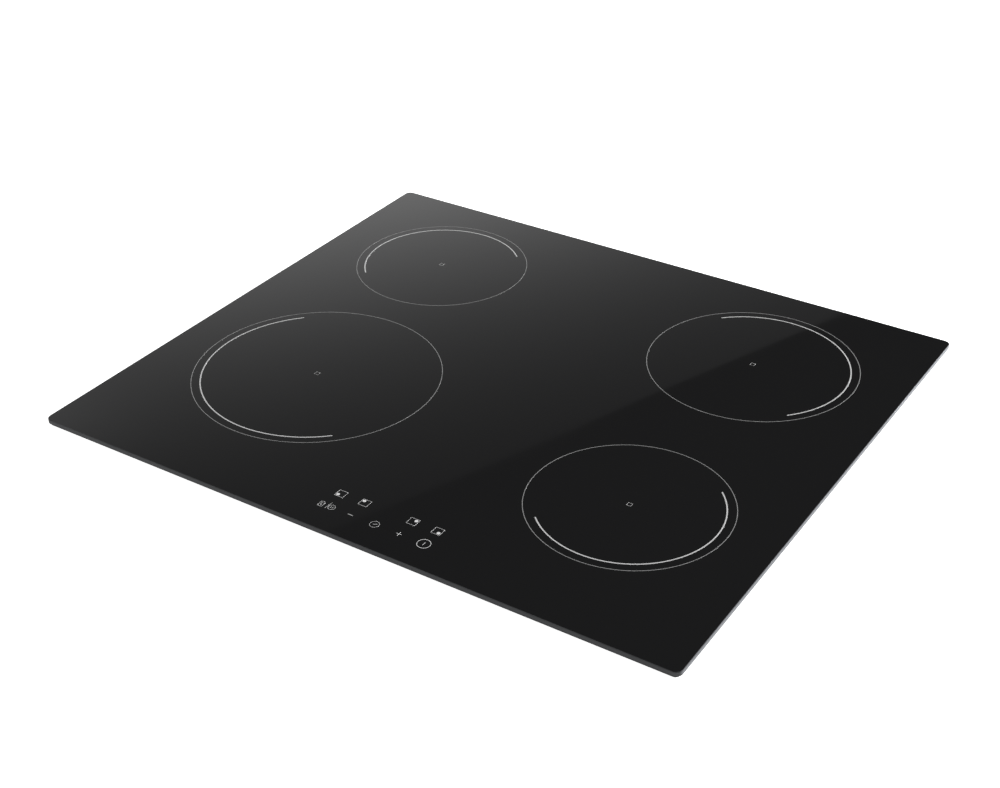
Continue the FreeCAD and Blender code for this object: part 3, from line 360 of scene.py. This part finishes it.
# %% [markdown]
# Plastics are moulded against a spark-eroded tool, which leaves an even fine grain of about half a
# millimetre. Rubber and foam are duller, and foam has open pores.

# %% Plastics, rubber and foam


def make_moulded(name, dark, light, roughness, grain_mm=0.5, depth_mm=0.02, **sockets):
    """A moulded surface: a slight drift of tone and a fine even grain."""
    material, shader = finish_of(name, light, roughness, **sockets)
    mottled(material, shader, 14.0, dark, light)
    grainy(material, shader, grain_mm, depth_mm)
    return material


black_nylon = make_moulded("polyamide_moulded_black", "#1b1c1d", "#232426", 0.48)
grey_nylon = make_moulded("polyamide_moulded_grey", "#8b8e90", "#9a9d9f", 0.5)
silicone_black = make_moulded("silicone_rubber_black", "#141415", "#1c1c1d", 0.62, 0.8, 0.01)
silicone_white = make_moulded("silicone_rubber_white", "#cfcfca", "#dcdcd8", 0.55, 0.8, 0.01)
foam_black = make_moulded("polyethylene_foam_black", "#161616", "#222222", 0.85, 0.9, 0.12)
epoxy_black = make_moulded("epoxy_moulded_black", "#131314", "#1c1c1e", 0.4, 0.3, 0.01)
film_case = make_moulded("polypropylene_case_yellow", "#b39a2f", "#c7ad3c", 0.32, 1.0, 0.005)
cable_pvc = make_moulded("cable_insulation_grey", "#8f8f8c", "#a1a19e", 0.45, 0.6, 0.01)
ferrite_black = make_moulded("ferrite_pressed_sintered", "#2b2c2e", "#3a3b3e", 0.55, 0.4, 0.02)
mica_sheet = make_moulded("mica_sheet_pressed", "#b9b39c", "#cfc9b2", 0.35, 2.5, 0.02)
print("moulded and pressed, up to", mica_sheet.name, ":", len(bpy.data.materials), "materials so far")

# %% [markdown]
# Circuit boards are woven glass and epoxy under a green solder resist. The weave is about half a millimetre
# and only just shows through, and the tracks give broad lighter shapes.

# %% Circuit board


def make_board():
    """Green solder resist over tracks, with a faint weave."""
    material, shader = finish_of("circuit_board_green_resist", "#1e5a34", 0.36, IOR=1.5)
    place = place_of(material)
    tracks = add(material, "ShaderNodeTexVoronoi", {"Scale": 1.0 / (9.0 * MM), "distance": "MANHATTAN"},
                 {"Vector": place})
    weave = add(material, "ShaderNodeTexWave", {"Scale": STRAIGHT_WAVE / (0.5 * MM)}, {"Vector": place})
    both = add(material, "ShaderNodeMath", {"operation": "MULTIPLY_ADD", 1: 0.12},
               {0: weave.outputs["Fac"], 2: tracks.outputs["Distance"]})
    ramp = add(material, "ShaderNodeValToRGB", links={"Fac": both.outputs["Value"]})
    ramp.color_ramp.interpolation = "EASE"
    ramp.color_ramp.elements[0].position = 0.45
    ramp.color_ramp.elements[0].color = colour("#2c7445")
    ramp.color_ramp.elements[1].position = 0.6
    ramp.color_ramp.elements[1].color = colour("#17482a")
    join_socket(material, ramp.outputs["Color"], shader, "Base Color")
    return material


circuit_board = make_board()
print(circuit_board.name, "has", len(circuit_board.node_tree.nodes), "nodes")

# %% [markdown]
# ## Dressing the engineering pieces
# Pieces whose shape is already right keep it and get a finish. A table says which finish each slot of the
# record stands for, so a left and a right piece can't end up different.

# %% A finish for each slot

FINISHES = {
    "glass_ceramic": glass_ceramic,
    "ring_enamel": ring_enamel,
    "arc_enamel": arc_enamel,
    "mark_enamel": mark_enamel,
    "foam": foam_black,
    "silicone": silicone_black,
    "silicone_boot": silicone_white,
    "galvanised_steel": galvanised,
    "zinc_plated_steel": zinc_plated,
    "spring_steel": spring_steel,
    "aluminium_sheet": mill_aluminium,
    "extruded_aluminium": extruded_aluminium,
    "moulded_grey": grey_nylon,
    "moulded_black": black_nylon,
    "circuit_board": circuit_board,
    "black_epoxy": epoxy_black,
    "capacitor_case": film_case,
    "choke_winding": choke_wire,
    "cable_pvc": cable_pvc,
    "brass_screw": brass,
    "copper_litz": copper_litz,
    "motor_steel": lamination,
    "ferrite": ferrite_black,
    "mica": mica_sheet,
}
for row in frame["record"]["subparts"]:
    piece = frame["nodes"][row["node"]]
    piece.data.materials.clear()
    piece.data.materials.append(FINISHES[row["material_slot"]])

# %% [markdown]
# ## Mesh helpers
# Most pieces here are flat outlines with a rounded edge. A box with a bevel modifier would do for one of
# them, but the glass needs its own edge profile and a second finish on the edge. So one function walks an
# outline round at each step of a profile and joins the loops. The profile says how far in and how high each
# loop lies. The flat ends are left unsmoothed: on a mirror, the least blending of normals at the rim would
# bend every reflection.

# %% Slabs with a profiled edge


def rounded_outline(width, depth, radius, steps=8):
    """Points round a rectangle with round corners, centred on the origin."""
    points = []
    for turn, (sx, sy) in enumerate(((1, 1), (-1, 1), (-1, -1), (1, -1))):
        middle = Vector((sx * (width / 2 - radius), sy * (depth / 2 - radius)))
        for k in range(steps + 1):
            angle = math.pi / 2 * (turn + k / steps)
            points.append(middle + radius * Vector((math.cos(angle), math.sin(angle))))
    return points


def new_piece(name, mesh_maker, materials, smooth_angle=40.0):
    """A named object from a function that fills a bmesh, with creases where faces meet at a sharp angle."""
    bm = bmesh.new()
    mesh_maker(bm)
    bmesh.ops.recalc_face_normals(bm, faces=bm.faces)
    for edge in bm.edges:
        if len(edge.link_faces) == 2 and edge.calc_face_angle() > math.radians(smooth_angle):
            edge.smooth = False
    mesh = bpy.data.meshes.new(name)
    bm.to_mesh(mesh)
    bm.free()
    for material in materials:
        mesh.materials.append(material)
    piece = bpy.data.objects.new(name, mesh)
    bpy.context.scene.collection.objects.link(piece)
    return piece


def loop_slab(bm, outline_at, profile, edge_finish, cap_finish):
    """Joins loops of an outline. outline_at(inset) gives points, and profile is a list of (inset, height)."""
    loops = []
    for inset, height in profile:
        loops.append([bm.verts.new((p.x, p.y, height)) for p in outline_at(inset)])
    for low, high in zip(loops, loops[1:]):
        for k in range(len(low)):
            n = (k + 1) % len(low)
            face = bm.faces.new((low[k], low[n], high[n], high[k]))
            face.material_index = edge_finish
            face.smooth = True
    for loop in (loops[0], loops[-1]):
        face = bm.faces.new(loop)
        face.material_index = cap_finish


print("a corner of eight steps gives", len(rounded_outline(0.1, 0.1, 0.01)), "points round an outline")

# %% [markdown]
# ## The glass plate
# The fired print stands two hundredths of a millimetre proud of the real plate. The plate is made that much
# lower than the print here, so each line has its own faint edge. The arrises are ground round, about half a
# millimetre.

# %% Glass plate
PRINT_STEP = 0.02 * MM
CORNER_R = 6.0 * MM
ARRIS = 0.5 * MM


def glass_profile():
    """Inset and height from the underside's rim round the edge to the top's rim."""
    top = TOP - PRINT_STEP
    steps = 5
    rows = []
    for k in range(steps + 1):
        angle = math.pi / 2 * k / steps
        rows.append((ARRIS * (1 - math.sin(angle)), UNDER + ARRIS * (1 - math.cos(angle))))
    for k in range(steps + 1):
        angle = math.pi / 2 * k / steps
        rows.append((ARRIS * (1 - math.cos(angle)), top - ARRIS * (1 - math.sin(angle))))
    return rows


def build_glass(bm):
    """The plate as one closed shell whose edge band has the ground finish."""
    size = glass_high - glass_low

    def outline(inset):
        return rounded_outline(size.x - 2 * inset, size.y - 2 * inset, CORNER_R - inset)

    loop_slab(bm, outline, glass_profile(), edge_finish=1, cap_finish=0)


glass_plate = new_piece("glass_plate", build_glass, [glass_ceramic, ground_edge], smooth_angle=60.0)
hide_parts("glass_top")
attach(glass_plate, "hob")
print("glass plate", len(glass_plate.data.polygons), "faces")

# %% [markdown]
# ## The stage
# The hob hangs in a worktop, so a pale worktop strip in front of it and to its right stands for that, flush
# under the glass rim. Behind and to the left it is left open, and the casing can be seen from there. Floor
# and strip are nearly shadeless, as in a catalogue cut-out.

# %% Floor and worktop strip


def make_paper(name, glow, glow_for_eye):
    """Matt white paper that glows: strongly for the eye, so no shadow shows, and weakly for other things."""
    material, shader = finish_of(name, "#d8d8d8", 0.9)
    shader.inputs["Emission Color"].default_value = (1.0, 1.0, 1.0, 1.0)
    path = add(material, "ShaderNodeLightPath")
    level = add(material, "ShaderNodeMapRange", {"To Min": glow, "To Max": glow_for_eye},
                {"Value": path.outputs["Is Camera Ray"]})
    join_socket(material, level.outputs["Result"], shader, "Emission Strength")
    return material


white_floor = make_paper("floor_white_matt", 0.1, 0.9)
FLOOR_HALF = 6.0
STRIP_FRONT = 0.055
STRIP_RIGHT = 0.055
STRIP_T = 0.002
CUTOUT_LIP = 0.015
FLOOR_DROP = 0.0002
STRIP_GAP = 0.0001


def build_floor(bm):
    """A wide level sheet that the casing stands on."""
    corners = ((-1, -1), (1, -1), (1, 1), (-1, 1))
    bm.faces.new([bm.verts.new((x * FLOOR_HALF, y * FLOOR_HALF, -FLOOR_DROP)) for x, y in corners])


def build_strip(bm):
    """An L-shaped strip of worktop along the front and the right of the cut-out."""
    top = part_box("worktop_seal")[0].z - STRIP_GAP
    x_out = glass_high.x + STRIP_RIGHT
    y_out = glass_low.y - STRIP_FRONT
    x_in = glass_high.x - CUTOUT_LIP
    y_in = glass_low.y + CUTOUT_LIP
    outer = [(glass_low.x, y_out), (x_out, y_out), (x_out, glass_high.y)]
    inner = [(x_in, glass_high.y), (x_in, y_in), (glass_low.x, y_in)]
    outline = outer + inner
    low = [bm.verts.new((x, y, top - STRIP_T)) for x, y in outline]
    high = [bm.verts.new((x, y, top)) for x, y in outline]
    bm.faces.new(low)
    bm.faces.new(high)
    for k in range(len(outline)):
        n = (k + 1) % len(outline)
        bm.faces.new((low[k], low[n], high[n], high[k]))


floor = new_piece("floor", build_floor, [white_floor])
strip = new_piece("worktop_strip", build_strip, [white_floor])
print("stage", [piece.name for piece in (floor, strip)])

# %% [markdown]
# ## The light
# A black mirror shows what stands around it and nothing else, so the light is made for its reflection. One
# large softbox hangs behind the hob and to its left. It is brightest at its far end and fades towards the
# viewer, and its right edge cuts across the plate as a slanting line. Beyond that line the plate mirrors a
# dark room. To place the softbox, the viewer's eye is mirrored in the plate: a line from there through a
# point on the plate meets the softbox where that point is lit. One small lamp stands far off at the back
# right, almost level with the plate. It brightens the ground edge on that side and, being so low, hardly
# touches the print.

# %% World and softbox
FILL_GREY = 0.9
PAPER_WHITE = 1.05


def make_world():
    """White for the eye, a dark ceiling above paler walls in mirrors, and soft white as fill light."""
    world = bpy.data.worlds.new("studio")
    world.use_nodes = True
    world.node_tree.nodes.clear()
    white = (1.0, 1.0, 1.0, 1.0)
    path = add(world, "ShaderNodeLightPath")
    gaze = add(world, "ShaderNodeTexCoord").outputs["Generated"]
    way = add(world, "ShaderNodeSeparateXYZ", links={"Vector": gaze})
    wall_span = {"From Min": 0.10, "From Max": 0.34, "To Min": 0.45, "To Max": 0.0}
    walls = add(world, "ShaderNodeMapRange", wall_span, {"Value": way.outputs["Z"]})
    ceiling_span = {"From Min": 0.345, "From Max": 0.66, "To Min": 0.05, "To Max": 0.158}
    ceiling = add(world, "ShaderNodeMapRange", ceiling_span, {"Value": way.outputs["Z"]})
    level = add(world, "ShaderNodeMath", {"operation": "ADD"},
                {0: walls.outputs["Result"], 1: ceiling.outputs["Result"]})
    room = add(world, "ShaderNodeBackground", {"Color": white}, {"Strength": level.outputs["Value"]})
    fill = add(world, "ShaderNodeBackground", {"Color": white, "Strength": FILL_GREY})
    paper = add(world, "ShaderNodeBackground", {"Color": white, "Strength": PAPER_WHITE})
    mirrored = add(world, "ShaderNodeMixShader",
                   links={0: path.outputs["Is Glossy Ray"], 1: fill.outputs[0], 2: room.outputs[0]})
    seen = add(world, "ShaderNodeMixShader",
               links={0: path.outputs["Is Camera Ray"], 1: mirrored.outputs[0], 2: paper.outputs[0]})
    add(world, "ShaderNodeOutputWorld", links={"Surface": seen.outputs[0]})
    bpy.context.scene.world = world


SOFTBOX_HEIGHT = 1.2
REACH = (CAMERA_FROM_PLATE.z + SOFTBOX_HEIGHT) / CAMERA_FROM_PLATE.z
SLANTING_EDGE = ((0.247, 0.380), (0.192, 0.253), (0.112, 0.041), (0.084, -0.039), (0.056, -0.115),
                 (-0.029, -0.330))
FAR_LEFT = -0.45
GLOW_BASE = 0.145
GLOWS = [
    {"peak": 1.16, "middle": (-0.39, 0.36), "half_axes": (0.32, 0.74), "turn": -0.46},
    {"peak": 0.22, "middle": (-0.34, -0.28), "half_axes": (0.10, 0.075), "turn": 0.0},
]


def softbox_point(x, y):
    """Where the softbox is seen in the plate at x, y, in metres from the plate's middle."""
    eye = CAMERA_FROM_PLATE
    return Vector((eye.x + (x - eye.x) * REACH, eye.y + (y - eye.y) * REACH, TOP + SOFTBOX_HEIGHT))


def build_softbox(bm):
    """A panel whose right edge falls on the slanting line in the plate."""
    back = SLANTING_EDGE[0][1]
    front = SLANTING_EDGE[-1][1]
    outline = [*SLANTING_EDGE, (FAR_LEFT, front), (FAR_LEFT, back)]
    bm.faces.new([bm.verts.new(softbox_point(*place)) for place in outline])


def bell(material, glow):
    """An oval glow that fades as a bell curve, in the plate's measures."""
    axes = (glow["half_axes"][0] * REACH, glow["half_axes"][1] * REACH, 1.0)
    frame_of_glow = {"vector_type": "TEXTURE", "Location": softbox_point(*glow["middle"]),
                     "Rotation": (0.0, 0.0, glow["turn"]), "Scale": axes}
    oval = add(material, "ShaderNodeMapping", frame_of_glow, {"Vector": place_of(material)}).outputs["Vector"]
    square = add(material, "ShaderNodeVectorMath", {"operation": "DOT_PRODUCT"}, {0: oval, 1: oval})
    minus = add(material, "ShaderNodeMath", {"operation": "MULTIPLY", 1: -1.0}, {0: square.outputs["Value"]})
    curve = add(material, "ShaderNodeMath", {"operation": "EXPONENT"}, {0: minus.outputs["Value"]})
    return add(material, "ShaderNodeMath", {"operation": "MULTIPLY", 1: glow["peak"]},
               {0: curve.outputs["Value"]})


def make_softbox_glow():
    """Cloth with two glows on it, a long one at the far left and a small one at the near left."""
    material = bpy.data.materials.new("softbox_cloth")
    material.use_nodes = True
    material.node_tree.nodes.clear()
    far, near = [bell(material, glow).outputs["Value"] for glow in GLOWS]
    both = add(material, "ShaderNodeMath", {"operation": "ADD"}, {0: far, 1: near})
    level = add(material, "ShaderNodeMath", {"operation": "ADD", 1: GLOW_BASE}, {0: both.outputs["Value"]})
    light = add(material, "ShaderNodeEmission", links={"Strength": level.outputs["Value"]})
    add(material, "ShaderNodeOutputMaterial", links={"Surface": light.outputs["Emission"]})
    return material


make_world()
softbox = new_piece("softbox", build_softbox, [make_softbox_glow()])
softbox.visible_camera = False
softbox.visible_shadow = False


def add_lamp(name, place, aim, size, watts):
    """A square area lamp that doesn't show in mirrors."""
    data = bpy.data.lights.new(name, "AREA")
    data.shape = "SQUARE"
    data.size = size
    data.energy = watts
    lamp = bpy.data.objects.new(name, data)
    lamp.location = place
    lamp.rotation_euler = (Vector(aim) - Vector(place)).to_track_quat("-Z", "Y").to_euler()
    lamp.visible_glossy = False
    lamp.visible_camera = False
    bpy.context.scene.collection.objects.link(lamp)
    return lamp


side_lamp = add_lamp("side_lamp", place=(1.7, 2.0, 0.12), aim=(0.3, 0.0, 0.05), size=0.25, watts=900.0)
bpy.context.scene.view_settings.view_transform = "Standard"
print("softbox corners", [[round(c, 2) for c in v.co] for v in softbox.data.vertices])
print(side_lamp.name, "at", [round(c, 2) for c in side_lamp.location])
